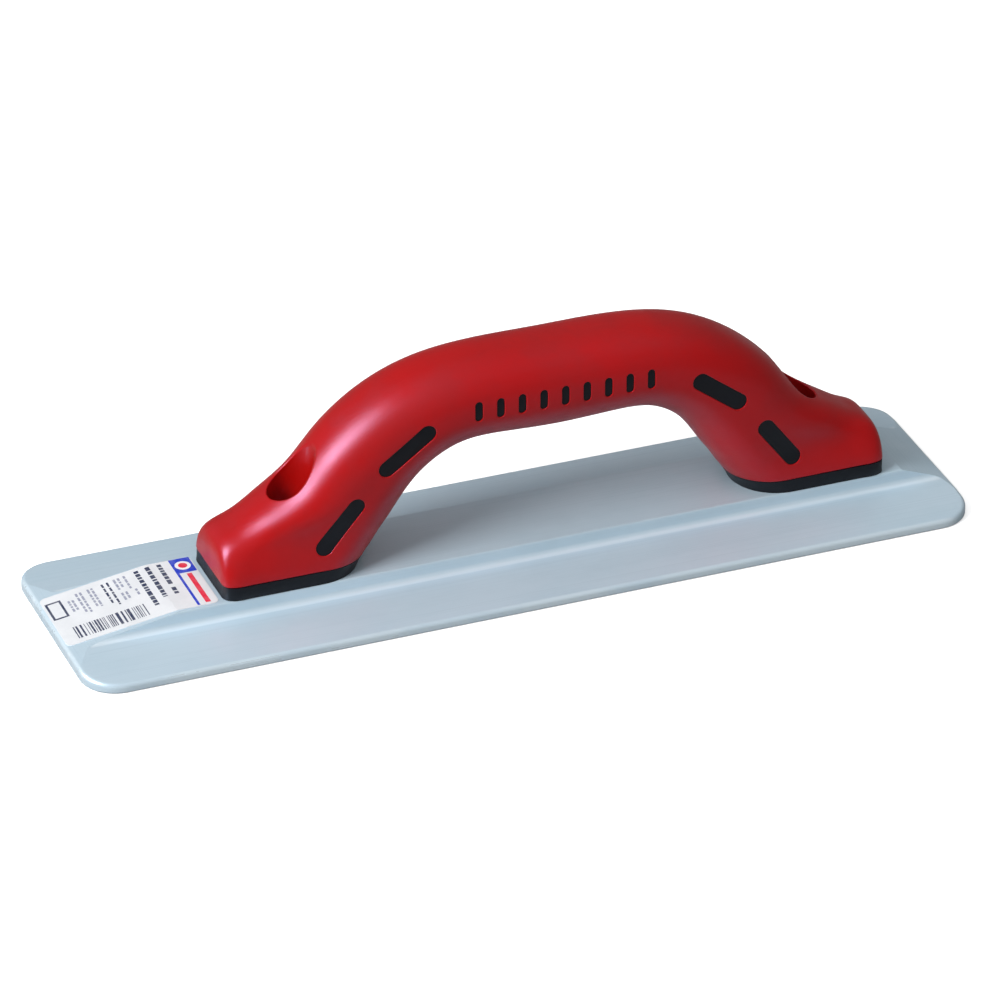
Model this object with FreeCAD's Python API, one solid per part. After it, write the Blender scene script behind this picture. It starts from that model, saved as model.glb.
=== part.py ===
import FreeCAD, Part
import math
import os

# Sizes in millimetres. Origin: centre of the blade's working face, +X along the blade
# towards its short-bevelled end, +Z up through the handle.

# Blade: an extruded magnesium section
blade_length = 304.8
blade_width = 79.4
edge_thickness = 3.2
flange_root_thickness = 5.4
spine_height = 10.0
spine_width = 31.2
spine_draft = 0.7
spine_root_radius = 1.8
spine_edge_radius = 0.7
corner_radius = 12.0
edge_round_under = 0.9
edge_round_over = 1.4
long_bevel_length = 37.3
short_bevel_length = 16.4
bevel_tip_height = 4.3

# Handle: moulded core under a softer skin
handle_length = 229.6
handle_rise = 66.7
underside_rise = 36.5
handle_offset = 15.5
foot_width = 31.2
grip_width = 33.4
skin_thickness = 3.0
base_strip_height = 4.6
pad_recess = 0.35

# Driver wells and fasteners
screw_spread = 174.0
well_radius = 7.6
well_lining = 1.3
lining_floor_rise = 17.5
seat_rise = 12.0
screw_radius = 3.175
screw_clearance = 0.25
thread_depth = 8.4
head_radius = 5.3
head_height = 3.8
recess_width = 1.3
recess_depth = 2.2
washer_radius = 6.6
washer_thickness = 1.4

# Windows in the skin: (distance from handle centre, height above the spine) of both ends
window_ends = (((81.1, 12.9), (70.8, 26.3)), ((60.5, 38.3), (47.0, 48.4)))
window_width = 5.8
tick_count = 9
tick_pitch = 7.4
tick_width = 2.6
tick_height = 6.8
tick_rise = 52.9

# Label: adhesive sheet on the spine and the long bevel
label_thickness = 0.15
label_gap_to_end = 1.0
label_gap_to_handle = 1.4
label_width = 29.4
label_shift = 0.6
label_corner = 2.0

half_length = handle_length / 2.0
half_blade = blade_length / 2.0
foot_bottom = spine_height
seat_height = foot_bottom + seat_rise

# Side profile of half the handle, from below the foot's sole to the middle of the grip:
# outer point as fractions of half length and rise, inner point as fractions of half length and
# underside rise, length and squareness of the outer rounding, narrowing towards the outer point.
profile = (
    (1.000, -0.115, 0.593, -0.130, 5.5, 6.0, 0.00),
    (1.000, 0.000, 0.571, 0.000, 5.5, 6.0, 0.00),
    (1.000, 0.115, 0.550, 0.120, 6.5, 5.5, 0.05),
    (0.990, 0.222, 0.527, 0.220, 10.5, 4.4, 0.26),
    (0.942, 0.280, 0.505, 0.325, 15.0, 3.4, 0.30),
    (0.864, 0.360, 0.475, 0.455, 15.5, 2.7, 0.16),
    (0.768, 0.475, 0.437, 0.630, 16.0, 2.5, 0.02),
    (0.684, 0.640, 0.393, 0.795, 16.0, 2.5, 0.00),
    (0.582, 0.797, 0.343, 0.915, 16.0, 2.5, 0.00),
    (0.438, 0.930, 0.268, 1.010, 15.5, 2.4, 0.00),
    (0.238, 0.995, 0.150, 1.020, 15.3, 2.4, 0.00),
    (0.000, 1.000, 0.000, 1.000, 15.1, 2.4, 0.00),
)
inner_round = 15.6
outline_steps = 60
section_count = 32


def box(x0, x1, y0, y1, z0, z1):
    return Part.makeBox(x1 - x0, y1 - y0, z1 - z0, FreeCAD.Vector(x0, y0, z0))


def upright(radius, x, z0, z1):
    return Part.makeCylinder(radius, z1 - z0, FreeCAD.Vector(x, 0, z0))


def rounded_plate(x0, x1, y0, y1, z0, z1, radius):
    plate = box(x0, x1, y0, y1, z0, z1)
    uprights = [e for e in plate.Edges if abs(e.tangentAt(e.FirstParameter).z) > 0.99]
    return plate.makeFillet(radius, uprights)


def blade_section():
    half = blade_width / 2.0
    root = spine_width / 2.0 + spine_draft
    top = spine_width / 2.0
    outline = [(-half, 0), (half, 0), (half, edge_thickness), (root, flange_root_thickness),
               (top, spine_height), (-top, spine_height), (-root, flange_root_thickness),
               (-half, edge_thickness)]
    points = [FreeCAD.Vector(-half_blade, y, z) for y, z in outline]
    return Part.Face(Part.makePolygon(points + points[:1]))


def lies_at(edge, y, z):
    mid = edge.valueAt((edge.FirstParameter + edge.LastParameter) / 2.0)
    return abs(abs(mid.y) - y) < 0.05 and abs(mid.z - z) < 0.05


def bevel_cutter(side, length):
    """Wedge above the plane that falls from the spine's top to the tip height at one end."""
    over = 5.0
    slope = (spine_height - bevel_tip_height) / length
    start = half_blade - length
    points = [FreeCAD.Vector(side * start, 0, spine_height),
              FreeCAD.Vector(side * (half_blade + over), 0, bevel_tip_height - over * slope),
              FreeCAD.Vector(side * (half_blade + over), 0, spine_height + over),
              FreeCAD.Vector(side * start, 0, spine_height + over)]
    wedge = Part.Face(Part.makePolygon(points + points[:1])).extrude(
        FreeCAD.Vector(0, blade_width + 2 * over, 0))
    wedge.translate(FreeCAD.Vector(0, -(blade_width / 2.0 + over), 0))
    return wedge


def rim_edges(solid, low, high, with_ends):
    """Edges around the blade's plan outline whose middle lies between two heights."""
    half_y = blade_width / 2.0
    found = []
    for edge in solid.Edges:
        mid = edge.valueAt((edge.FirstParameter + edge.LastParameter) / 2.0)
        level = max(abs(v.Point.z - mid.z) for v in edge.Vertexes) < 1.0
        on_side = abs(abs(mid.y) - half_y) < 0.01
        on_end = abs(abs(mid.x) - half_blade) < 0.01
        in_corner = (abs(mid.x) > half_blade - corner_radius and abs(mid.y) > half_y - corner_radius)
        wanted = on_side or (with_ends if on_end else in_corner)
        if level and low <= mid.z <= high and wanted:
            found.append(edge)
    return found


def end_round_cutter(side, length):
    """Rounds the straight top edge of one end, tangent to the bevel and to the end face."""
    slope = (spine_height - bevel_tip_height) / length
    lean = math.hypot(1.0, slope)
    r = edge_round_over
    cx, cz = half_blade - r, bevel_tip_height + slope * r - r * lean
    first = math.atan2(1.0, slope)
    start = FreeCAD.Vector(cx + r * math.cos(first), 0, cz + r * math.sin(first))
    middle = FreeCAD.Vector(cx + r * math.cos(first / 2.0), 0, cz + r * math.sin(first / 2.0))
    end = FreeCAD.Vector(half_blade, 0, cz)
    above = spine_height
    corners = [end, FreeCAD.Vector(half_blade + 1, 0, cz), FreeCAD.Vector(half_blade + 1, 0, above),
               FreeCAD.Vector(start.x, 0, above), start]
    edges = [Part.Arc(start, middle, end).toShape()]
    edges += [Part.makeLine(a, b) for a, b in zip(corners, corners[1:])]
    span = blade_width - 2.0 * corner_radius
    cutter = Part.Face(Part.Wire(edges)).extrude(FreeCAD.Vector(0, span, 0))
    cutter.translate(FreeCAD.Vector(0, -span / 2.0, 0))
    if side < 0:
        cutter = cutter.mirror(FreeCAD.Vector(0, 0, 0), FreeCAD.Vector(1, 0, 0))
    return cutter


def make_blade():
    bar = blade_section().extrude(FreeCAD.Vector(blade_length, 0, 0))
    root = spine_width / 2.0 + spine_draft
    bar = bar.makeFillet(spine_root_radius,
                         [e for e in bar.Edges if lies_at(e, root, flange_root_thickness)])
    bar = bar.makeFillet(spine_edge_radius,
                         [e for e in bar.Edges if lies_at(e, spine_width / 2.0, spine_height)])
    bar = bar.cut(bevel_cutter(-1, long_bevel_length))
    bar = bar.cut(bevel_cutter(1, short_bevel_length))
    half = blade_width / 2.0
    bar = bar.common(rounded_plate(-half_blade, half_blade, -half, half, -1,
                                   spine_height + 1, corner_radius))
    bar = bar.makeFillet(edge_round_under, rim_edges(bar, -0.01, 0.01, True))
    bar = bar.makeFillet(edge_round_over,
                         rim_edges(bar, edge_thickness - 0.3, bevel_tip_height, False))
    bar = bar.cut(end_round_cutter(-1, long_bevel_length))
    bar = bar.cut(end_round_cutter(1, short_bevel_length))
    for side in (-1, 1):
        x = handle_offset + side * screw_spread / 2.0
        bar = bar.cut(upright(screw_radius, x, spine_height - thread_depth, spine_height + 1))
    return bar


def signed_power(value, power):
    return math.copysign(abs(value) ** power, value)


def profile_row(index):
    """Row of the profile for any section of the whole handle, mirrored past the middle."""
    last = len(profile) - 1
    side = -1.0 if index <= last else 1.0
    row = profile[index if index <= last else 2 * last - index]
    reach_out, rise_out, reach_in, rise_in, round_out, square, narrow = row
    outer = (side * reach_out * half_length, foot_bottom + rise_out * handle_rise)
    inner = (side * reach_in * half_length, foot_bottom + rise_in * underside_rise)
    height = min(1.0, max(0.0, rise_out) * 1.2)
    half_width = (foot_width + (grip_width - foot_width) * height) / 2.0
    return outer, inner, half_width, round_out, square, narrow


def inward(points, index, other, wall):
    """Point moved into the handle by wall, square to the line through its neighbours,
    or along the sole at either foot."""
    before = points[max(index - 1, 0)]
    after = points[min(index + 1, len(points) - 1)]
    dx, dz = after[0] - before[0], after[1] - before[1]
    size = math.hypot(dx, dz)
    nx, nz = -dz / size, dx / size
    here = points[index]
    if index in (0, len(points) - 1):
        return here[0] + math.copysign(wall, other[0] - here[0]), here[1]
    if nx * (other[0] - here[0]) + nz * (other[1] - here[1]) < 0:
        nx, nz = -nx, -nz
    return here[0] + wall * nx, here[1] + wall * nz


def section_points(rows, index, wall):
    """Closed outline of one section: two rounded ends joined by straight sides."""
    outer, inner, half_width, round_out, square, narrow = rows[index]
    out = inward([r[0] for r in rows], index, inner, wall)
    inn = inward([r[1] for r in rows], index, outer, wall)
    depth = math.hypot(out[0] - inn[0], out[1] - inn[1])
    ux, uz = (out[0] - inn[0]) / depth, (out[1] - inn[1]) / depth
    end_out = min(round_out - wall / 2.0, depth * 0.49)
    end_in = min(inner_round - wall / 2.0, depth * 0.49)
    half_width -= wall
    outline = []
    for step in range(0, 4 * outline_steps):
        angle = 0.5 * math.pi * step / outline_steps
        if step <= outline_steps or step >= 3 * outline_steps:
            outline.append((end_in - end_in * math.cos(angle), -half_width * math.sin(angle)))
        else:
            along = depth - end_out + end_out * abs(math.cos(angle)) ** (2.0 / square)
            outline.append((along, -half_width * signed_power(math.sin(angle), 2.0 / square)))
    points = []
    for along, across in evenly_spaced(outline, section_count):
        across *= 1.0 - narrow * (along / depth) ** 2
        points.append(FreeCAD.Vector(inn[0] + along * ux + handle_offset, across,
                                     inn[1] + along * uz))
    return points


def evenly_spaced(outline, count):
    """Points at equal distances round a closed outline, starting from its first point."""
    closed = outline + outline[:1]
    lengths = [0.0]
    for a, b in zip(closed, closed[1:]):
        lengths.append(lengths[-1] + math.hypot(b[0] - a[0], b[1] - a[1]))
    placed = []
    k = 0
    for i in range(count):
        target = lengths[-1] * i / count
        while lengths[k + 1] < target:
            k += 1
        share = (target - lengths[k]) / (lengths[k + 1] - lengths[k])
        placed.append((closed[k][0] + share * (closed[k + 1][0] - closed[k][0]),
                       closed[k][1] + share * (closed[k + 1][1] - closed[k][1])))
    return placed


def handle_loft(wall):
    """Whole handle as one smooth solid, every surface moved inwards by wall. The surface
    runs on below the soles and is cut off level there.
    """
    count = 2 * len(profile) - 1
    rows = [profile_row(i) for i in range(count)]
    grid = []
    for index in range(count):
        points = section_points(rows, index, wall)
        grid.append(points + points[:1])
    surface = Part.BSplineSurface()
    surface.interpolate(grid)
    side = surface.toShape()
    soles = [e for e in side.Edges if e.isClosed()]
    shell = Part.Shell([side] + [Part.Face(Part.Wire([e])) for e in soles])
    shell.sewShape()
    solid = Part.Solid(shell)
    if solid.Volume < 0:
        solid.reverse()
    reach = half_length + 20.0
    above_sole = box(handle_offset - reach, handle_offset + reach, -reach, reach,
                     foot_bottom, foot_bottom + handle_rise + 20.0)
    return solid.common(above_sole)


def slot_prism(start, end, width, side, depth_in):
    """Round-ended bar through one flank of the handle, from depth_in outwards."""
    half = width / 2.0
    far = grip_width
    dx, dz = end[0] - start[0], end[1] - start[1]
    size = math.hypot(dx, dz)
    nx, nz = -dz / size * half, dx / size * half
    y = depth_in if side > 0 else -far
    corners = [FreeCAD.Vector(start[0] + nx, y, start[1] + nz),
               FreeCAD.Vector(end[0] + nx, y, end[1] + nz),
               FreeCAD.Vector(end[0] - nx, y, end[1] - nz),
               FreeCAD.Vector(start[0] - nx, y, start[1] - nz)]
    tip_end = FreeCAD.Vector(end[0] + dx / size * half, y, end[1] + dz / size * half)
    tip_start = FreeCAD.Vector(start[0] - dx / size * half, y, start[1] - dz / size * half)
    edges = [Part.makeLine(corners[0], corners[1]),
             Part.Arc(corners[1], tip_end, corners[2]).toShape(),
             Part.makeLine(corners[2], corners[3]),
             Part.Arc(corners[3], tip_start, corners[0]).toShape()]
    return Part.Face(Part.Wire(edges)).extrude(FreeCAD.Vector(0, far - depth_in, 0))


def window_prisms():
    prisms = []
    depth_in = foot_width / 2.0 - skin_thickness - 3.0
    for side in (-1, 1):
        for leg in (-1, 1):
            for start, end in window_ends:
                prisms.append(slot_prism(
                    (handle_offset + leg * start[0], foot_bottom + start[1]),
                    (handle_offset + leg * end[0], foot_bottom + end[1]),
                    window_width, side, depth_in))
        for i in range(tick_count):
            x = handle_offset + (i - (tick_count - 1) / 2.0) * tick_pitch
            reach = (tick_height - tick_width) / 2.0
            middle = foot_bottom + tick_rise
            prisms.append(slot_prism((x, middle - reach), (x, middle + reach),
                                     tick_width, side, depth_in))
    return prisms


def screw_places():
    return [handle_offset - screw_spread / 2.0, handle_offset + screw_spread / 2.0]


def make_handle():
    """Core and skin. The skin stops above the base strips and is open at each window."""
    over = 20.0
    top = foot_bottom + handle_rise + over
    strip_top = foot_bottom + base_strip_height
    outside = handle_loft(0.0)
    inside = handle_loft(skin_thickness)
    pad_limit = handle_loft(pad_recess)
    x0, x1 = handle_offset - half_length - over, handle_offset + half_length + over
    strip_slab = box(x0, x1, -over * 2, over * 2, foot_bottom, strip_top)
    prisms = window_prisms()
    core = inside.fuse(outside.common(strip_slab))
    for prism in prisms:
        core = core.fuse(pad_limit.common(prism))
    for x in screw_places():
        core = core.cut(upright(screw_radius + screw_clearance, x, foot_bottom - 1, top))
        core = core.cut(upright(well_radius, x, seat_height, top))
        core = core.cut(upright(well_radius + well_lining, x,
                                foot_bottom + lining_floor_rise, top))
    core = core.removeSplitter()
    skin = outside.common(box(x0, x1, -over * 2, over * 2, strip_top, top))
    skin = skin.cut(core)
    for x in screw_places():
        skin = skin.cut(upright(well_radius, x, foot_bottom - 1, top))
    skin = skin.cut(Part.makeCompound(prisms))
    return core, skin


def largest_solid(shape):
    return max(shape.Solids, key=lambda s: s.Volume)


def make_screw(x):
    """Pan-head machine screw with a cross recess, standing in its well."""
    under = seat_height + washer_thickness
    shank = upright(screw_radius, x, spine_height - thread_depth, under + 0.5)
    head = upright(head_radius, x, under, under + head_height)
    rim = [e for e in head.Edges if abs(e.BoundBox.ZMin - (under + head_height)) < 0.01
           and abs(e.BoundBox.ZMax - (under + head_height)) < 0.01]
    head = head.makeFillet(head_height * 0.45, rim)
    screw = head.fuse(shank)
    reach = head_radius * 0.62
    top = under + head_height
    for half_x, half_y in ((reach, recess_width / 2.0), (recess_width / 2.0, reach)):
        screw = screw.cut(box(x - half_x, x + half_x, -half_y, half_y, top - recess_depth,
                              top + 1))
    point = [e for e in screw.Edges if abs(e.BoundBox.ZMax - (spine_height - thread_depth)) < 0.01]
    return screw.makeChamfer(0.5, point).removeSplitter()


def make_washer(x):
    ring = upright(washer_radius, x, seat_height, seat_height + washer_thickness)
    return ring.cut(upright(screw_radius, x, seat_height - 1, seat_height + washer_thickness + 1))


def make_label(blade):
    lifted = blade.copy()
    lifted.translate(FreeCAD.Vector(0, 0, label_thickness))
    x0 = -half_blade + label_gap_to_end
    x1 = handle_offset - half_length - label_gap_to_handle
    y0 = label_shift - label_width / 2.0
    outline = rounded_plate(x0, x1, y0, y0 + label_width, bevel_tip_height - 2,
                            spine_height + 2, label_corner)
    return lifted.cut(blade).common(outline)


os.makedirs("parts", exist_ok=True)
blade = make_blade()
core, skin = make_handle()
places = screw_places()
nodes = {
    "blade": blade,
    "handle_core": core,
    "handle_grip": skin,
    "left_screw": make_screw(places[0]),
    "right_screw": make_screw(places[1]),
    "left_washer": make_washer(places[0]),
    "right_washer": make_washer(places[1]),
    "label": make_label(blade),
}
for name, shape in nodes.items():
    solid = largest_solid(shape)
    solid.exportStep("parts/" + name + ".step")
    print(name, "solids", len(shape.Solids), "volume", round(solid.Volume, 1), solid.isValid())
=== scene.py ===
import bpy
import math
import numpy as np
from mathutils import Matrix, Vector


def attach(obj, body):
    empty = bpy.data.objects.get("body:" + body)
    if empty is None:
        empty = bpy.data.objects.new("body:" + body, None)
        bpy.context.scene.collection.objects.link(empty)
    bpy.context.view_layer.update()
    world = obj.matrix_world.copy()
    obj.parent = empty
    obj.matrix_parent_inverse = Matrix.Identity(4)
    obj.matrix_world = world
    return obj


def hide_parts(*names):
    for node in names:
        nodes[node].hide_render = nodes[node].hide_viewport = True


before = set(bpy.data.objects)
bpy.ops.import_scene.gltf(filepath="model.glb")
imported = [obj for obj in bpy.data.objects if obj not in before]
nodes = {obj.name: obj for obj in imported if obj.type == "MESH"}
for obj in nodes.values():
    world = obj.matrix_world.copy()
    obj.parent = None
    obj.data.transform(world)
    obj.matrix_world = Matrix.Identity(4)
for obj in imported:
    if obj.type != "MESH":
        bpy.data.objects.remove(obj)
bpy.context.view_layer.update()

# ---- Blade ----
# One length of extruded magnesium: a flat working face, thin flanges and a raised spine whose
# two ends are ground down. It lies at the bottom and carries the handle. Its shape is the CAD
# node's own; die lines, grinding marks, dull patches, rubbed edges and a painted highlight along
# each root of the spine are in the material.


def paint(node, material):
    """Gives a CAD node one material."""
    node.data.materials.clear()
    node.data.materials.append(material)


def make_material(name):
    """An empty Principled material: returns its tree, its shader and the material."""
    material = bpy.data.materials.new(name)
    material.use_nodes = True
    tree = material.node_tree
    return tree, tree.nodes["Principled BSDF"], material


def add(tree, kind, **settings):
    """Adds a node, sets its properties, and returns it."""
    node = tree.nodes.new("ShaderNode" + kind)
    for key, value in settings.items():
        setattr(node, key, value)
    return node


def feed(tree, socket, value):
    """Joins a socket to an output, or sets its own value where a number or colour is given."""
    if isinstance(value, bpy.types.NodeSocket):
        tree.links.new(value, socket)
    else:
        socket.default_value = value


def math_step(tree, operation, *values):
    """One Math node on up to three numbers or outputs."""
    node = add(tree, "Math", operation=operation)
    for socket, value in zip(node.inputs, values):
        feed(tree, socket, value)
    return node.outputs[0]


def blend_colour(tree, share, first, second):
    """Mixes two colours by a mask."""
    node = add(tree, "Mix", data_type="RGBA")
    feed(tree, node.inputs["Factor"], share)
    feed(tree, node.inputs["A"], first)
    feed(tree, node.inputs["B"], second)
    return node.outputs["Result"]


def band(tree, value, low, high, out_low=0.0, out_high=1.0):
    """Maps a value smoothly from one range to another and holds it there."""
    node = add(tree, "MapRange", interpolation_type="SMOOTHSTEP")
    for key, number in zip(("Value", "From Min", "From Max", "To Min", "To Max"),
                           (value, low, high, out_low, out_high)):
        feed(tree, node.inputs[key], number)
    return node.outputs[0]


def marks(tree, place, stretch, detail=3.0, roughness=0.55):
    """Noise read from place, with its size along each axis given as marks per metre."""
    mapping = add(tree, "Mapping")
    feed(tree, mapping.inputs["Vector"], place)
    mapping.inputs["Scale"].default_value = stretch
    noise = add(tree, "TexNoise")
    noise.inputs["Scale"].default_value = 1.0
    noise.inputs["Detail"].default_value = detail
    noise.inputs["Roughness"].default_value = roughness
    feed(tree, noise.inputs["Vector"], mapping.outputs[0])
    return noise.outputs["Fac"]


def bump(tree, height, distance, strength=1.0):
    """A Bump node over a height between 0 and 1, worth distance metres."""
    node = add(tree, "Bump")
    node.inputs["Strength"].default_value = strength
    node.inputs["Distance"].default_value = distance
    feed(tree, node.inputs["Height"], height)
    return node.outputs["Normal"]


tree, shader, magnesium = make_material("magnesium")
where = add(tree, "TexCoord").outputs["Object"]
apart = add(tree, "SeparateXYZ")
feed(tree, apart.inputs[0], where)
x, y, z = apart.outputs
spine_height, bevel_tip, blade_half_length, blade_half_width = 0.010, 0.0043, 0.1524, 0.0397
long_bevel, short_bevel = 0.0373, 0.0164
# a mask of the two ground planes: past each bevel's start, and on its sloping plane
ground = 0.0
for side, length in ((-1.0, long_bevel), (1.0, short_bevel)):
    past = math_step(tree, "SUBTRACT", math_step(tree, "MULTIPLY", x, side),
                     blade_half_length - length)
    fall = math_step(tree, "MULTIPLY", past, (spine_height - bevel_tip) / length)
    off_plane = math_step(tree, "ABSOLUTE", math_step(tree, "SUBTRACT",
                          math_step(tree, "ADD", z, fall), spine_height))
    on_plane = math_step(tree, "MULTIPLY", band(tree, off_plane, 0.0001, 0.0003, 1, 0),
                         band(tree, past, -0.0004, 0.0004))
    ground = math_step(tree, "MAXIMUM", ground, on_plane)
die_lines = marks(tree, where, (3.0, 1500.0, 700.0), 4.0, 0.6)
grinding = marks(tree, where, (2200.0, 25.0, 300.0), 3.0, 0.6)
patches = marks(tree, where, (22.0, 45.0, 40.0), 4.0, 0.55)
pits = marks(tree, where, (900.0, 900.0, 900.0), 2.0, 0.7)
line_mix = add(tree, "Mix", data_type="FLOAT")
feed(tree, line_mix.inputs["Factor"], ground)
feed(tree, line_mix.inputs[2], die_lines)
feed(tree, line_mix.inputs[3], grinding)
lines = line_mix.outputs[0]
to_end = math_step(tree, "SUBTRACT", blade_half_length, math_step(tree, "ABSOLUTE", x))
to_side = math_step(tree, "SUBTRACT", blade_half_width, math_step(tree, "ABSOLUTE", y))
rim = band(tree, math_step(tree, "MINIMUM", to_end, to_side), 0.0004, 0.0016, 1, 0)
rubbed = math_step(tree, "MULTIPLY", rim, band(tree, patches, 0.3, 0.55))
dull = band(tree, patches, 0.35, 0.7)
clean_metal, dull_metal = (0.60, 0.745, 0.85, 1), (0.55, 0.70, 0.80, 1)
rubbed_metal, line_metal = (0.76, 0.87, 0.94, 1), (0.42, 0.56, 0.65, 1)
# the next colour is a painted highlight: the light caught along each root fillet of the spine
painted_highlight_colour = (0.84, 0.93, 1.0, 1)
rubbed_share, line_share, painted_highlight_share = 0.6, 0.2, 0.55
metal = blend_colour(tree, dull, clean_metal, dull_metal)
metal = blend_colour(tree, math_step(tree, "MULTIPLY", rubbed, rubbed_share), metal, rubbed_metal)
metal = blend_colour(tree, math_step(tree, "MULTIPLY", band(tree, lines, 0.5, 0.72), line_share),
                     metal, line_metal)
# painted highlight: a lighter line along each flange, just outside the spine's root, stands in for
# the light caught by the root fillet
root_line, root_half_width = 0.0174, 0.0015
from_root = math_step(tree, "ABSOLUTE", math_step(tree, "SUBTRACT", math_step(tree, "ABSOLUTE", y),
                                                  root_line))
painted_highlight = math_step(tree, "MULTIPLY", band(tree, from_root, 0.0002, root_half_width, 1, 0),
                  math_step(tree, "SUBTRACT", 1.0, ground))
metal = blend_colour(tree, math_step(tree, "MULTIPLY", painted_highlight, painted_highlight_share), metal, painted_highlight_colour)
feed(tree, shader.inputs["Base Color"], metal)
shader.inputs["Metallic"].default_value = 0.3
rough = math_step(tree, "ADD", band(tree, dull, 0, 1, 0.36, 0.45),
                  math_step(tree, "MULTIPLY", math_step(tree, "SUBTRACT", lines, 0.5), 0.3))
feed(tree, shader.inputs["Roughness"], math_step(tree, "SUBTRACT", rough,
                                                 math_step(tree, "MULTIPLY", rubbed, 0.1)))
relief = math_step(tree, "ADD", math_step(tree, "MULTIPLY", lines, 0.8),
                   math_step(tree, "MULTIPLY", pits, 0.2))
feed(tree, shader.inputs["Normal"], bump(tree, relief, 0.00005))
paint(nodes["blade"], magnesium)

# ---- Handle core ----
# The rigid black moulding inside the handle. It shows as the strip round each foot, the pads
# in the skin's windows and the row of ticks on the grip. It sits on the blade's spine.


def moulded_grain_group():
    """Shared by every plastic piece: a fine moulded grain, with slow cloudy wear over it.
    Puts out the grain's height and a 0 to 1 wear mask.
    """
    group = bpy.data.node_groups.new("moulded grain", "ShaderNodeTree")
    face = group.interface
    face.new_socket("Place", in_out="INPUT", socket_type="NodeSocketVector")
    face.new_socket("Grains per Metre", in_out="INPUT", socket_type="NodeSocketFloat")
    face.new_socket("Clouds per Metre", in_out="INPUT", socket_type="NodeSocketFloat")
    face.new_socket("Height", in_out="OUTPUT", socket_type="NodeSocketFloat")
    face.new_socket("Wear", in_out="OUTPUT", socket_type="NodeSocketFloat")
    source = group.nodes.new("NodeGroupInput").outputs
    result = group.nodes.new("NodeGroupOutput").inputs
    for key, detail, slot_name in (("Grains per Metre", 2.0, "Height"),
                                   ("Clouds per Metre", 5.0, "Wear")):
        noise = add(group, "TexNoise")
        noise.inputs["Detail"].default_value = detail
        noise.inputs["Roughness"].default_value = 0.6
        feed(group, noise.inputs["Vector"], source["Place"])
        feed(group, noise.inputs["Scale"], source[key])
        value = noise.outputs["Fac"]
        if slot_name == "Wear":
            value = band(group, value, 0.38, 0.66)
        feed(group, result[slot_name], value)
    return group


moulded_grain = moulded_grain_group()


def grain_of(tree, grains, clouds):
    """Places the moulded grain group in a material; returns its height and wear outputs."""
    node = add(tree, "Group")
    node.node_tree = moulded_grain
    feed(tree, node.inputs["Place"], add(tree, "TexCoord").outputs["Object"])
    node.inputs["Grains per Metre"].default_value = grains
    node.inputs["Clouds per Metre"].default_value = clouds
    return node.outputs["Height"], node.outputs["Wear"]


tree, shader, core_plastic = make_material("core plastic")
height, wear = grain_of(tree, 2600.0, 70.0)
feed(tree, shader.inputs["Base Color"],
     blend_colour(tree, wear, (0.003, 0.004, 0.007, 1), (0.006, 0.007, 0.011, 1)))
feed(tree, shader.inputs["Roughness"], band(tree, wear, 0, 1, 0.42, 0.56))
shader.inputs["Specular IOR Level"].default_value = 0.3
feed(tree, shader.inputs["Normal"], bump(tree, height, 0.00005))
paint(nodes["handle_core"], core_plastic)

# ---- Handle skin ----
# A soft red elastomer moulded over the core, 3 mm thick, open at the windows and lining the
# upper part of both driver wells. It stops level above the core's base strips.

foot_bottom = 10.0
handle_offset = 15.5
half_length = 114.8
handle_rise = 66.7
underside_rise = 36.5
foot_width, grip_width = 31.2, 33.4
inner_round, outline_steps, outline_points = 15.6, 60, 32
# One row per section, foot to mid grip: outer reach and rise, inner reach and rise, length
# and squareness of the outer rounding, narrowing towards the outer point. Reaches are shares
# of half the length, outer rises of the handle's rise and inner rises of the underside's.
profile = np.array([
    (1.000, -0.115, 0.593, -0.130, 5.5, 6.0, 0.00),
    (1.000, 0.000, 0.571, 0.000, 5.5, 6.0, 0.00),
    (1.000, 0.115, 0.550, 0.120, 6.5, 5.5, 0.05),
    (0.990, 0.222, 0.527, 0.220, 10.5, 4.4, 0.26),
    (0.942, 0.280, 0.505, 0.325, 15.0, 3.4, 0.30),
    (0.864, 0.360, 0.475, 0.455, 15.5, 2.7, 0.16),
    (0.768, 0.475, 0.437, 0.630, 16.0, 2.5, 0.02),
    (0.684, 0.640, 0.393, 0.795, 16.0, 2.5, 0.00),
    (0.582, 0.797, 0.343, 0.915, 16.0, 2.5, 0.00),
    (0.438, 0.930, 0.268, 1.010, 15.5, 2.4, 0.00),
    (0.238, 0.995, 0.150, 1.020, 15.3, 2.4, 0.00),
    (0.000, 1.000, 0.000, 1.000, 15.1, 2.4, 0.00)])


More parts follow.
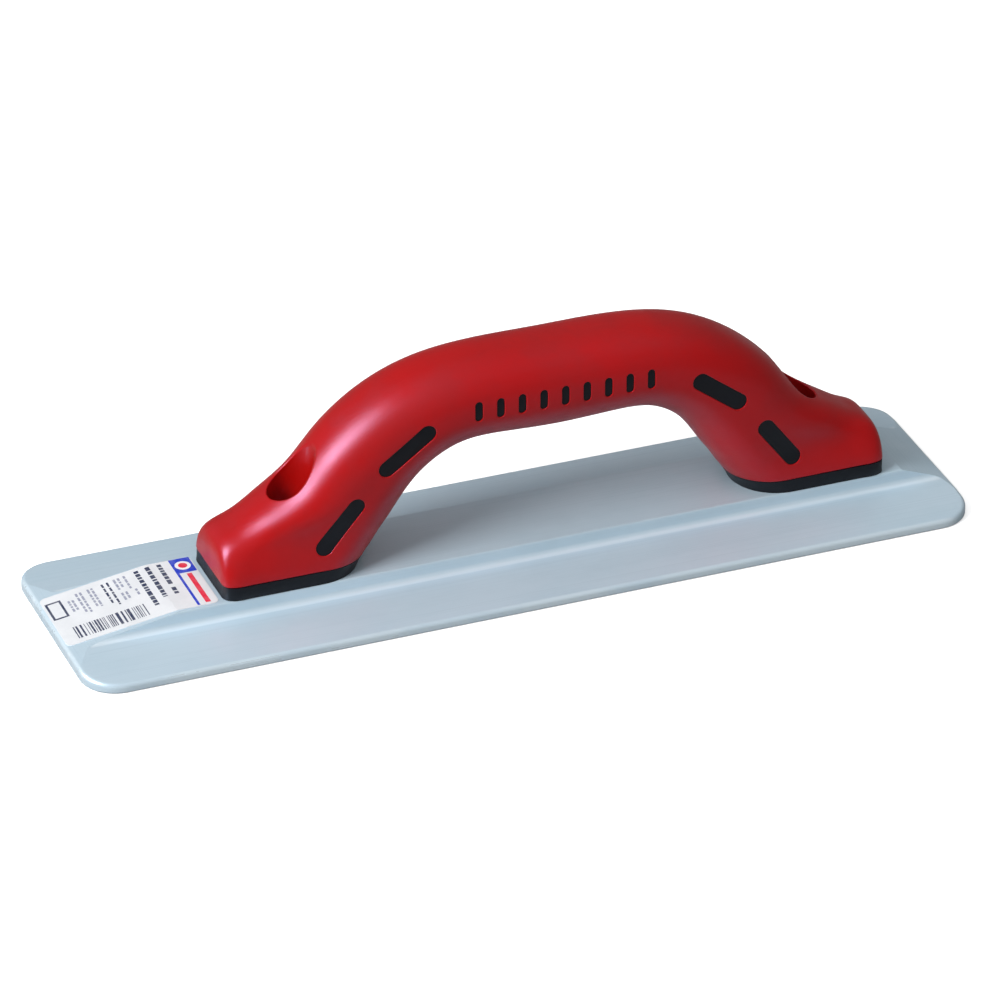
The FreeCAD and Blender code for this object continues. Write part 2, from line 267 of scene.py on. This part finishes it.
def handle_stations():
    """Outline points of every section, mirrored past mid grip: a half ellipse on the inner
    side and a superellipse on the outer, joined by straight flanks, spaced evenly round the
    outline, then narrowed with the square of the distance from the inner point.
    """
    rows = np.vstack([profile, profile[-2::-1]])
    side = np.where(np.arange(len(rows)) < len(profile), -1.0, 1.0)
    out = np.stack([side * rows[:, 0] * half_length, foot_bottom + rows[:, 1] * handle_rise], 1)
    inn = np.stack([side * rows[:, 2] * half_length, foot_bottom + rows[:, 3] * underside_rise], 1)
    height = np.clip(rows[:, 1] * 1.2, 0.0, 1.0)
    half_width = (foot_width + (grip_width - foot_width) * height)[:, None] / 2.0
    depth = np.linalg.norm(out - inn, axis=1)[:, None]
    end_out = np.minimum(rows[:, 4:5], depth * 0.49)
    end_in = np.minimum(inner_round, depth * 0.49)
    power = 2.0 / rows[:, 5:6]
    turn = 0.5 * np.pi * np.arange(4 * outline_steps + 1)[None] / outline_steps
    sine, cosine = np.sin(turn), np.cos(turn)
    inner_end = cosine > -1e-9
    along = np.where(inner_end, end_in * (1 - cosine),
                     depth - end_out + end_out * np.abs(cosine) ** power)
    across = -half_width * np.where(inner_end, sine, np.sign(sine) * np.abs(sine) ** power)
    lengths = np.hypot(np.diff(along, axis=1), np.diff(across, axis=1)).cumsum(axis=1)
    lengths = np.hstack([np.zeros_like(depth), lengths])
    shares = np.linspace(0, 1, outline_points + 1)
    even = np.array([[np.interp(shares * l[-1], l, a), np.interp(shares * l[-1], l, c)]
                     for l, a, c in zip(lengths, along, across)])
    along, across = even[:, 0], even[:, 1]
    across = across * (1.0 - rows[:, 6:7] * (along / depth) ** 2)
    step = (out - inn) / depth
    return np.stack([inn[:, :1] + along * step[:, :1] + handle_offset, across,
                     inn[:, 1:] + along * step[:, 1:]], 2)


def natural_cubic(knots, values, at):
    """Natural cubic spline through values at knots along the first axis, read at many places."""
    gaps = np.diff(knots)
    count = len(knots)
    matrix = np.eye(count)
    i = np.arange(1, count - 1)
    matrix[i, i - 1], matrix[i, i + 1] = gaps[:-1], gaps[1:]
    matrix[i, i] = 2 * (gaps[:-1] + gaps[1:])
    flat = values.reshape(count, -1)
    slopes = np.diff(flat, axis=0) / gaps[:, None]
    bend = np.zeros_like(flat)
    bend[1:-1] = 6 * np.diff(slopes, axis=0)
    bend = np.linalg.solve(matrix, bend)
    k = np.clip(np.searchsorted(knots, at, side="right") - 1, 0, count - 2)
    h = gaps[k][:, None]
    a = (knots[k + 1] - at)[:, None]
    b = (at - knots[k])[:, None]
    read = ((bend[k] * a ** 3 + bend[k + 1] * b ** 3) / (6 * h)
            + (flat[k] / h - bend[k] * h / 6) * a + (flat[k + 1] / h - bend[k + 1] * h / 6) * b)
    return read.reshape((len(at),) + values.shape[1:])


def chord_places(points):
    """Mean share of chord length at each row of a point net, from 0 to 1."""
    chords = np.linalg.norm(np.diff(points, axis=0), axis=2)
    shares = np.cumsum(chords, axis=0) / chords.sum(axis=0)
    return np.concatenate([[0.0], shares.mean(axis=1)])


stations = handle_stations()


def unit(vectors):
    """Each vector over its own length."""
    return vectors / np.linalg.norm(vectors, axis=-1)[..., None]


def fine_net(rows, columns):
    """The handle's outer face as a dense net of points and outward normals: a natural cubic
    spline round each section, then along the handle. The last column repeats the first.
    """
    outlines = stations.transpose(1, 0, 2)
    fine = natural_cubic(chord_places(outlines), outlines, np.linspace(0, 1, columns))
    points = natural_cubic(chord_places(stations), fine.transpose(1, 0, 2),
                           np.linspace(0, 1, rows))
    wrapped = np.concatenate([points[:, -2:-1], points, points[:, 1:2]], axis=1)
    across = wrapped[:, 2:] - wrapped[:, :-2]
    along = np.gradient(points, axis=0)
    return points, unit(np.cross(along, across))


window_ends = ((81.1, 12.9, 70.8, 26.3), (60.5, 38.3, 47.0, 48.4))
window_width = 5.8
tick_count, tick_pitch, tick_width, tick_height, tick_rise = 9, 7.4, 2.6, 6.8, 52.9
screw_spread, well_radius = 174.0, 7.6
strip_top = foot_bottom + 4.6
window_lip, well_lip, rim_lip, skin_thickness = 0.25, 0.8, 0.4, 3.0
lining_floor = foot_bottom + 17.5
flank_from, well_cut_from, far_off = 8.0, 27.0, 9.0


def window_list():
    """Every window on one flank as (x start, z start, x end, z end, width)."""
    slots = []
    for leg in (-1, 1):
        for x0, z0, x1, z1 in window_ends:
            slots.append((handle_offset + leg * x0, foot_bottom + z0,
                          handle_offset + leg * x1, foot_bottom + z1, window_width))
    middle = foot_bottom + tick_rise
    reach = (tick_height - tick_width) / 2.0
    for i in range(tick_count):
        x = handle_offset + (i - (tick_count - 1) / 2.0) * tick_pitch
        slots.append((x, middle - reach, x, middle + reach, tick_width))
    return slots


def distance_to_slot(x, z, slot):
    """Distance outside a round-ended slot's wall, negative inside it."""
    x0, z0, x1, z1, width = slot
    span = (x1 - x0) ** 2 + (z1 - z0) ** 2
    share = np.clip(((x - x0) * (x1 - x0) + (z - z0) * (z1 - z0)) / span, 0, 1)
    return np.hypot(x - x0 - share * (x1 - x0), z - z0 - share * (z1 - z0)) - width / 2.0


def distance_to_openings(points):
    """Distance from each point to the nearest cut edge of the skin, negative where it is cut.
    Slots are cut on the flanks only, and wells in the upper face only.
    """
    x, y, z = points[..., 0], points[..., 1], points[..., 2]
    nearest = z - strip_top - rim_lip
    for slot in window_list():
        gap = distance_to_slot(x, z, slot) - window_lip
        nearest = np.minimum(nearest, np.where(np.abs(y) > flank_from, gap, far_off))
    for side in (-1, 1):
        gap = np.hypot(x - handle_offset - side * screw_spread / 2.0, y) - well_radius - well_lip
        nearest = np.minimum(nearest, np.where(z > well_cut_from, gap, far_off))
    return nearest


def cut_net(points, normals, gap):
    """Triangles of the net outside the openings. Where an edge of the net crosses an opening's
    outline, its nearer end is moved along the edge onto that outline, so the cut is clean.
    """
    moved, turned, level = points.copy(), normals.copy(), gap.copy()
    halfway = 0.5
    nearest = np.full(gap.shape, halfway)
    for axis in (0, 1):
        for step in (1, -1):
            other = np.roll(gap, -step, axis)
            valid = np.ones(gap.shape, bool)
            edge = [slice(None), slice(None)]
            edge[axis] = -1 if step == 1 else 0
            valid[tuple(edge)] = False
            crosses = gap * other < 0
            share = np.where(crosses, gap / np.where(gap == other, 1, gap - other), far_off)
            better = valid & (share <= nearest) & crosses
            far = np.roll(points, -step, axis)
            far_normal = np.roll(normals, -step, axis)
            s = share[better][:, None]
            moved[better] = points[better] * (1 - s) + far[better] * s
            turned[better] = normals[better] * (1 - s) + far_normal[better] * s
            level[better] = 0.0
            nearest = np.where(better, share, nearest)
    index = np.arange(gap.size).reshape(gap.shape)
    a, b = index[:-1, :-1].ravel(), index[:-1, 1:].ravel()
    c, d = index[1:, 1:].ravel(), index[1:, :-1].ravel()
    flat = level.ravel()
    raw = gap.ravel()
    swap = (flat[a] * flat[c] < 0)[:, None]
    first = np.where(swap, np.stack([a, b, d], 1), np.stack([a, b, c], 1))
    second = np.where(swap, np.stack([b, c, d], 1), np.stack([a, c, d], 1))
    faces = np.vstack([first, second])
    keep = (flat[faces].min(1) >= 0) & ((flat[faces].max(1) > 0) | (raw[faces].mean(1) > 0))
    return moved.reshape(-1, 3), unit(turned).reshape(-1, 3), faces[keep]


def strip_faces(rows, columns):
    """Triangles of a net that closes on itself across its columns."""
    r, c = np.meshgrid(np.arange(rows - 1), np.arange(columns), indexing="ij")
    a = (r * columns + c).ravel()
    b = (r * columns + (c + 1) % columns).ravel()
    quads = np.stack([a, b, b + columns, a + columns], 1)
    return np.vstack([quads[:, [0, 1, 2]], quads[:, [0, 2, 3]]])


def heights_on(points, normals, at, flat, up):
    """Surface height along axis up at places given on the two flat axes, from the tangent
    plane of the nearest net point; gives the normal there too.
    """
    margin = 1.5
    low, high = at.min(0) - margin, at.max(0) + margin
    near = np.all((points[:, flat] > low) & (points[:, flat] < high), axis=1)
    p, n = points[near], normals[near]
    gaps = ((at[:, None] - p[None][:, :, flat]) ** 2).sum(2)
    k = gaps.argmin(1)
    step = at - p[k][:, flat]
    height = p[k, up] - (n[k][:, flat] * step).sum(1) / n[k, up]
    return height, n[k]


def slot_outline(slot, offset, count):
    """Points round a slot at an offset outside its wall: two half circles and two straights."""
    x0, z0, x1, z1, width = slot
    radius = width / 2.0 + offset
    span = math.hypot(x1 - x0, z1 - z0)
    half = count // 2
    arc_share, fewest = 0.55, 6
    arcs = max(fewest, int(half * arc_share))
    turn = np.linspace(-0.5 * np.pi, 0.5 * np.pi, arcs)
    run = np.linspace(1, 0, half - arcs + 2)[1:-1]
    right = np.stack([span + radius * np.cos(turn), radius * np.sin(turn)], 1)
    top = np.stack([span * run, np.full(len(run), radius)], 1)
    shape = np.vstack([right, top])
    shape = np.vstack([shape, [span, 0] - shape])
    ux, uz = (x1 - x0) / span, (z1 - z0) / span
    return np.stack([x0 + shape[:, 0] * ux - shape[:, 1] * uz,
                     z0 + shape[:, 0] * uz + shape[:, 1] * ux], 1)


def lip_profile(radius, rows):
    """A quarter round: distance outside the wall and depth below the surface, row by row."""
    turn = np.linspace(0, 0.5 * np.pi, rows)
    return radius * (1 - np.sin(turn)), radius * (1 - np.cos(turn)), turn


net_rows, net_columns = 400, 190
gate_place, gate_radius, gate_depth = np.array([-30.4, -6.1, 73.0]), 1.5, 0.3
skin_inset = 0.015
points, normals = fine_net(net_rows, net_columns)
# a shallow round dimple where the skin was injected
from_gate = np.linalg.norm(points - gate_place, axis=2) / gate_radius
points -= normals * (skin_inset + gate_depth * np.exp(-from_gate ** 2))[..., None]
flat_points, flat_normals = points.reshape(-1, 3), normals.reshape(-1, 3)


def lip_normals(lean, inward, angle):
    """Normals part way round a lip: from the skin's own towards the wall's."""
    return unit(lean * math.cos(angle) + inward * math.sin(angle))


def ring_group(rows, turns):
    """One (points, normals, triangles) group from a stack of closed rings."""
    return np.concatenate(rows), np.concatenate(turns), strip_faces(len(rows), len(rows[0]))


window_lip_rows, well_lip_rows, rim_lip_rows = 5, 7, 4
window_ring, tick_ring, well_ring, well_wall_rows = 56, 36, 72, 10
core_gap, rim_return = 0.2, 1.2
near_flank = flat_points[:, 1] < -flank_from
upper = flat_normals[:, 2] > 0.2


def slot_walls(slot):
    """The lip and wall of one slot on the near flank, and their mirror image on the far
    flank. The wall ends just above the core under the skin.
    """
    offsets, depths, turn = lip_profile(window_lip, window_lip_rows)
    offsets, depths = np.append(offsets, 0.0), np.append(depths, skin_thickness - core_gap)
    turn = np.append(turn, 0.5 * np.pi)
    count = window_ring if slot[4] > tick_width else tick_ring
    rows, turns = [], []
    for offset, depth, angle in zip(offsets, depths, turn):
        ring = slot_outline(slot, offset, count)
        height, lean = heights_on(flat_points[near_flank], flat_normals[near_flank], ring,
                                  [0, 2], 1)
        wall = slot_outline(slot, offset + 1.0, count) - ring
        inward = np.stack([-wall[:, 0], np.zeros(len(ring)), -wall[:, 1]], 1)
        rows.append(np.stack([ring[:, 0], height + depth, ring[:, 1]], 1))
        turns.append(lip_normals(lean, inward, angle))
    near_points, near_normals, faces = ring_group(rows, turns)
    mirror = np.array([1.0, -1.0, 1.0])
    return [(near_points, near_normals, faces),
            (near_points * mirror, near_normals * mirror, faces)]


def well_lining(centre):
    """The lip and straight wall of one driver well, down to the lining's floor."""
    circle = np.linspace(0, 2 * np.pi, well_ring, endpoint=False)
    outward = np.stack([np.cos(circle), np.sin(circle)], 1)
    inward = np.hstack([-outward, np.zeros((well_ring, 1))])
    rows, turns = [], []
    for offset, depth, angle in zip(*lip_profile(well_lip, well_lip_rows)):
        ring = outward * (well_radius + offset) + [centre, 0]
        height, lean = heights_on(flat_points[upper], flat_normals[upper], ring, [0, 1], 2)
        rows.append(np.column_stack([ring, height - depth]))
        turns.append(lip_normals(lean, inward, angle))
    top = rows[-1]
    for share in np.linspace(0, 1, well_wall_rows)[1:]:
        wall = top.copy()
        wall[:, 2] = wall[:, 2] * (1 - share) + lining_floor * share
        rows.append(wall)
        turns.append(inward)
    return ring_group(rows, turns)


def foot_rim(p, n, rising):
    """The skin's lower edge above one base strip, rolled in under the skin. Along the net
    the outline passes that height going up at one foot and down at the other.
    """
    height = p[..., 2] - strip_top - rim_lip
    crossing = np.argmax(height > 0 if rising else height <= 0, axis=0)
    column = np.arange(p.shape[1])
    low, high = p[crossing - 1, column], p[crossing, column]
    a, b = height[crossing - 1, column], height[crossing, column]
    share = (a / (a - b))[:, None]
    ring, lean = low * (1 - share) + high * share, n[crossing, column]
    level = unit(lean * [1, 1, 0])
    rows, turns = [], []
    for offset, depth, angle in zip(*lip_profile(rim_lip, rim_lip_rows)):
        rows.append(ring - level * depth - [0, 0, rim_lip - offset])
        turns.append(lip_normals(lean, np.array([0, 0, -1.0]), angle))
    rows.append(rows[-1] - level * rim_return)
    turns.append(turns[-1])
    return ring_group(rows, turns)


parts = [cut_net(points, normals, distance_to_openings(points))]
for slot in window_list():
    parts += slot_walls(slot)
for side in (-1, 1):
    parts.append(well_lining(handle_offset + side * screw_spread / 2.0))
for half, rising in ((slice(0, net_rows // 2), True), (slice(net_rows // 2, net_rows), False)):
    parts.append(foot_rim(points[half, :-1], normals[half, :-1], rising))


def mesh_piece(name, groups, material):
    """One object in metres from (points, normals, triangles) groups, smooth by their normals,
    each triangle wound so that it faces the way its normals point.
    """
    first = np.cumsum([0] + [len(g[0]) for g in groups])
    verts = np.concatenate([g[0] for g in groups]) * 0.001
    vert_normals = np.concatenate([g[1] for g in groups])
    faces = np.concatenate([g[2] + start for g, start in zip(groups, first)])
    corners = verts[faces]
    facing = np.cross(corners[:, 1] - corners[:, 0], corners[:, 2] - corners[:, 0])
    backwards = (facing * vert_normals[faces].sum(1)).sum(1) < 0
    faces[backwards] = faces[backwards][:, ::-1]
    used, faces = np.unique(faces, return_inverse=True)
    faces = faces.reshape(-1, 3)
    mesh = bpy.data.meshes.new(name)
    mesh.vertices.add(len(used))
    mesh.vertices.foreach_set("co", verts[used].astype(np.float32).ravel())
    mesh.loops.add(faces.size)
    mesh.loops.foreach_set("vertex_index", faces.astype(np.int32).ravel())
    mesh.polygons.add(len(faces))
    mesh.polygons.foreach_set("loop_start", np.arange(0, faces.size, 3, dtype=np.int32))
    mesh.update(calc_edges=True)
    mesh.polygons.foreach_set("use_smooth", np.ones(len(faces), bool))
    mesh.normals_split_custom_set_from_vertices(vert_normals[used].astype(np.float32))
    mesh.validate()
    mesh.materials.append(material)
    piece = bpy.data.objects.new(name, mesh)
    bpy.context.scene.collection.objects.link(piece)
    return piece


tree, shader, red_skin = make_material("red skin")
height, wear = grain_of(tree, 3400.0, 38.0)
feed(tree, shader.inputs["Base Color"],
     blend_colour(tree, wear, (0.420, 0.004, 0.003, 1), (0.365, 0.006, 0.005, 1)))
feed(tree, shader.inputs["Roughness"], band(tree, wear, 0, 1, 0.29, 0.36))
shader.inputs["Specular Tint"].default_value = (1.0, 0.72, 1.0, 1)
feed(tree, shader.inputs["Normal"], bump(tree, height, 0.00004))
grip = mesh_piece("grip_skin", parts, red_skin)
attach(grip, "root")
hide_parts("handle_grip")

# ---- Screws and washers ----
# Two pan head machine screws, each on a flat washer, deep in the driver wells: zinc plated
# steel. They pass through the core's feet into the tapped spine.
tree, shader, zinc = make_material("zinc plate")
where = add(tree, "TexCoord").outputs["Object"]
swirl = marks(tree, where, (900.0, 900.0, 3000.0), 3.0)
feed(tree, shader.inputs["Base Color"],
     blend_colour(tree, band(tree, swirl, 0.3, 0.7), (0.60, 0.60, 0.58, 1), (0.44, 0.45, 0.47, 1)))
shader.inputs["Metallic"].default_value = 1.0
feed(tree, shader.inputs["Roughness"], band(tree, swirl, 0.3, 0.7, 0.26, 0.42))
feed(tree, shader.inputs["Normal"], bump(tree, swirl, 0.00001))
for name in ("left_screw", "right_screw", "left_washer", "right_washer"):
    paint(nodes[name], zinc)

# ---- Label ----
# A white vinyl sheet stuck on the spine and down the long bevel. Its print is generic: a
# blue corner block with a plain disc, a rule, a red bar, dashes for lines of print, plain
# upright bars and a square frame. The ink is a film on the sheet.
tree, shader, label_sheet = make_material("label sheet")
height, wear = grain_of(tree, 1800.0, 90.0)
feed(tree, shader.inputs["Base Color"],
     blend_colour(tree, wear, (0.76, 0.78, 0.81, 1), (0.70, 0.72, 0.75, 1)))
feed(tree, shader.inputs["Roughness"], band(tree, wear, 0, 1, 0.34, 0.46))
feed(tree, shader.inputs["Normal"], bump(tree, height, 0.00001))
paint(nodes["label"], label_sheet)


def ink_material(name, colour):
    """Printed ink: a thin glossy film with small gaps in its coverage."""
    tree, shader, material = make_material(name)
    height, wear = grain_of(tree, 2400.0, 500.0)
    pale = tuple(c * 0.75 + 0.2 for c in colour[:3]) + (1,)
    feed(tree, shader.inputs["Base Color"],
         blend_colour(tree, math_step(tree, "MULTIPLY", wear, 0.35), colour, pale))
    feed(tree, shader.inputs["Roughness"], band(tree, wear, 0, 1, 0.30, 0.42))
    feed(tree, shader.inputs["Normal"], bump(tree, height, 0.000006))
    return material


bevel_start, bevel_slope = -115.1, 5.7 / 37.3
sheet_top, ink_lift = 10.15, 0.02


def ink_height(x):
    """Just above the sheet's top at a place along the blade: level, then down the bevel."""
    return sheet_top - np.maximum(bevel_start - x, 0.0) * bevel_slope + ink_lift


def ink_patches(boxes):
    """Flat patches from rows of (x low, x high, y low, y high), each split where the sheet
    folds over onto the bevel so that it follows the sheet.
    """
    boxes = np.asarray(boxes, float)
    crosses = (boxes[:, 0] < bevel_start) & (boxes[:, 1] > bevel_start)
    left, right = boxes[crosses].copy(), boxes[crosses].copy()
    left[:, 1], right[:, 0] = bevel_start, bevel_start
    boxes = np.vstack([boxes[~crosses], left, right])
    x = boxes[:, [0, 1, 1, 0]]
    y = boxes[:, [2, 2, 3, 3]]
    corners = np.stack([x, y, ink_height(x)], 2).reshape(-1, 3)
    lean = np.where(x < bevel_start, bevel_slope, 0.0)
    normals = np.stack([-lean, np.zeros_like(x), np.ones_like(x)], 2).reshape(-1, 3)
    first = np.arange(len(boxes))[:, None] * 4
    faces = np.vstack([first + [0, 1, 2], first + [0, 2, 3]])
    return corners, unit(normals), faces


def dashes(x, y_from, y_to, thickness, seed):
    """A line of print as dashes of uneven length across the label, from y_from down to y_to."""
    most, shortest = 60, 0.3
    chance = np.random.default_rng(seed)
    lengths = chance.uniform(0.9, 2.6, most)
    gaps = chance.uniform(0.35, 0.6, most)
    starts = y_from - np.concatenate([[0], np.cumsum(lengths + gaps)[:-1]])
    ends = np.maximum(starts - lengths, y_to)
    kept = (starts - ends > shortest) & (starts > y_to + shortest)
    rows = np.stack([np.full(most, x - thickness / 2), np.full(most, x + thickness / 2),
                     ends, starts], 1)
    return rows[kept]


frame_low, frame_high, frame_left, frame_right, frame_line = 1.6, 11.6, -150.6, -145.4, 0.75
square_frame = [
    (frame_left, frame_right, frame_low, frame_low + frame_line),
    (frame_left, frame_right, frame_high - frame_line, frame_high),
    (frame_left, frame_left + frame_line, frame_low + frame_line, frame_high - frame_line),
    (frame_right - frame_line, frame_right, frame_low + frame_line, frame_high - frame_line)]
bar_count, bars_from, bar_low, bar_high = 26, -147.6, -11.8, -4.9
bar_chance = np.random.default_rng(7)
bar_widths = bar_chance.choice([0.22, 0.34, 0.6, 0.95], bar_count, p=[0.4, 0.3, 0.2, 0.1])
bar_gaps = bar_chance.choice([0.28, 0.45, 0.8], bar_count)
bar_starts = bars_from + np.cumsum(bar_widths + bar_gaps)
bar_starts -= bar_widths
bars = np.stack([bar_starts, bar_starts + bar_widths,
                 np.full(bar_count, bar_low), np.full(bar_count, bar_high)], 1)
# each line of print: its place along the blade, then where across it starts and stops
bold_lines = ((-119.4, 13.6, -8.0), (-115.6, 13.8, -5.0), (-111.6, 13.8, 0.8),
              (-111.6, -0.6, -4.6))
small_lines = ((-131.2, 12.6, 0.5), (-129.4, 12.6, -1.0))
grey_lines = ((-143.3, 9.6, 3.0), (-142.0, 9.4, 3.4), (-140.0, 12.2, 0.8), (-138.6, 12.2, -0.2),
              (-136.0, 12.4, 2.0), (-134.7, 12.4, 1.2), (-127.0, 13.0, 6.6), (-125.6, 13.0, 7.0),
              (-127.0, 4.6, 0.2), (-125.6, 4.6, 0.6), (-123.6, 13.2, 5.4), (-122.4, 4.4, 0.6))


def print_lines(lines, thickness, first_seed):
    """Dashes for each of a group of lines, each line with the next seed."""
    return [dashes(x, y_from, y_to, thickness, first_seed + number)
            for number, (x, y_from, y_to) in enumerate(lines)]


dark_print = [square_frame, bars, *print_lines(bold_lines, 1.5, 20),
              *print_lines(small_lines, 0.7, 40)]
grey_print = print_lines(grey_lines, 0.75, 60)
blue_print = [(-107.9, -101.0, 6.4, 15.1), (-107.9, -107.0, -13.6, 6.4)]
red_print = [(-104.9, -103.2, -12.9, 5.6)]


def disc_patch(x, y, radius, lift):
    """A flat round patch: a ring of points and one in the middle."""
    count = 40
    turn = np.linspace(0, 2 * np.pi, count, endpoint=False)
    ring = np.stack([x + radius * np.cos(turn), y + radius * np.sin(turn)], 1)
    ring = np.vstack([ring, [[x, y]]])
    corners = np.column_stack([ring, np.full(count + 1, sheet_top + lift)])
    index = np.arange(count)
    faces = np.stack([np.full(count, count), index, (index + 1) % count], 1)
    return corners, np.tile([0.0, 0.0, 1.0], (count + 1, 1)), faces


disc_x, disc_y, disc_radius, dot_radius = -104.4, 10.7, 2.6, 1.5
disc = disc_patch(disc_x, disc_y, disc_radius, 0.04)
dot = disc_patch(disc_x, disc_y, dot_radius, 0.06)
print_jobs = (
    ("label_print_dark", [ink_patches(np.vstack(dark_print))], (0.035, 0.045, 0.10, 1)),
    ("label_print_grey", [ink_patches(np.vstack(grey_print))], (0.30, 0.32, 0.42, 1)),
    ("label_print_blue", [ink_patches(blue_print)], (0.01, 0.04, 0.55, 1)),
    ("label_print_red", [ink_patches(red_print), dot], (0.75, 0.02, 0.06, 1)),
    ("label_print_white", [disc], (0.85, 0.85, 0.88, 1)))
for name, groups, colour in print_jobs:
    ink = mesh_piece(name, groups, ink_material(name.replace("_", " "), colour))
    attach(ink, "root")

# ---- Floor, light and camera ----
# A plain studio: a white floor that is darker to reflections than to the camera, one soft
# lamp that shows only in reflections, three that give only diffuse light, and a long lens.
floor_mesh = bpy.data.meshes.new("floor")
reach = 4
floor_mesh.from_pydata([(-reach, -reach, 0), (reach, -reach, 0), (reach, reach, 0),
                        (-reach, reach, 0)], [], [(0, 1, 2, 3)])
floor = bpy.data.objects.new("floor", floor_mesh)
bpy.context.scene.collection.objects.link(floor)
tree, shader, floor_paint = make_material("floor paint")
seen = add(tree, "LightPath").outputs["Is Camera Ray"]
feed(tree, shader.inputs["Base Color"],
     blend_colour(tree, seen, (0.30, 0.30, 0.30, 1), (0.93, 0.93, 0.93, 1)))
feed(tree, shader.inputs["Emission Color"],
     blend_colour(tree, seen, (0, 0, 0, 1), (0.5, 0.5, 0.5, 1)))
shader.inputs["Emission Strength"].default_value = 1.0
shader.inputs["Roughness"].default_value = 1.0
shader.inputs["Specular IOR Level"].default_value = 0.0
floor_mesh.materials.append(floor_paint)

bpy.context.scene.view_settings.view_transform = "Standard"
world = bpy.data.worlds.new("studio")
bpy.context.scene.world = world
world.use_nodes = True
background = world.node_tree.nodes["Background"]
background.inputs["Color"].default_value = (1, 1, 1, 1)
background.inputs["Strength"].default_value = 0.14


def area_light(name, place, target, size, power):
    """A rectangular lamp aimed at a point."""
    lamp = bpy.data.lights.new(name, "AREA")
    lamp.shape, lamp.size, lamp.size_y, lamp.energy = "RECTANGLE", size[0], size[1], power
    holder = bpy.data.objects.new(name, lamp)
    bpy.context.scene.collection.objects.link(holder)
    holder.location = place
    holder.rotation_euler = (Vector(target) - Vector(place)).to_track_quat("-Z", "Y").to_euler()
    return holder


mid_handle = (0, 0, 0.03)
sheen = area_light("sheen", (-1.75, 0.25, 1.35), mid_handle, (1.2, 1.2), 95)
sheen.data.color = (0.82, 0.86, 1.0)
sheen.visible_diffuse = False
for name, place, target, size, power in (
        ("key", (-1.65, -0.55, 1.2), mid_handle, (0.8, 0.8), 42),
        ("overhead", (-0.2, -0.1, 1.6), (0, 0, 0), (3, 3), 21),
        ("front fill", (0.2, -1.8, 0.8), mid_handle, (1.6, 1.2), 4)):
    area_light(name, place, target, size, power).visible_glossy = False

# The camera stands at an azimuth and elevation round the origin and leans by roll. It is set
# off sideways and upwards so that the float sits in the middle of the view.
azimuth, elevation, roll = math.radians(-22.389), math.radians(30.821), math.radians(-0.892)
distance, off_sideways, off_upwards = 2.09585, 0.000453, 0.015847
back = Vector((math.sin(azimuth) * math.cos(elevation), -math.cos(azimuth) * math.cos(elevation),
               math.sin(elevation)))
level = Vector((math.cos(azimuth), math.sin(azimuth), 0))
raised = back.cross(level)
right = level * math.cos(roll) - raised * math.sin(roll)
up = level * math.sin(roll) + raised * math.cos(roll)
place = back * distance + right * off_sideways + up * off_upwards
lens = bpy.data.cameras.new("camera")
lens.sensor_width, lens.lens, lens.clip_end = 36, 233.27, 20
camera = bpy.data.objects.new("camera", lens)
bpy.context.scene.collection.objects.link(camera)
camera.matrix_world = Matrix(((right.x, up.x, back.x, place.x),
                              (right.y, up.y, back.y, place.y),
                              (right.z, up.z, back.z, place.z),
                              (0, 0, 0, 1)))
bpy.context.scene.camera = camera
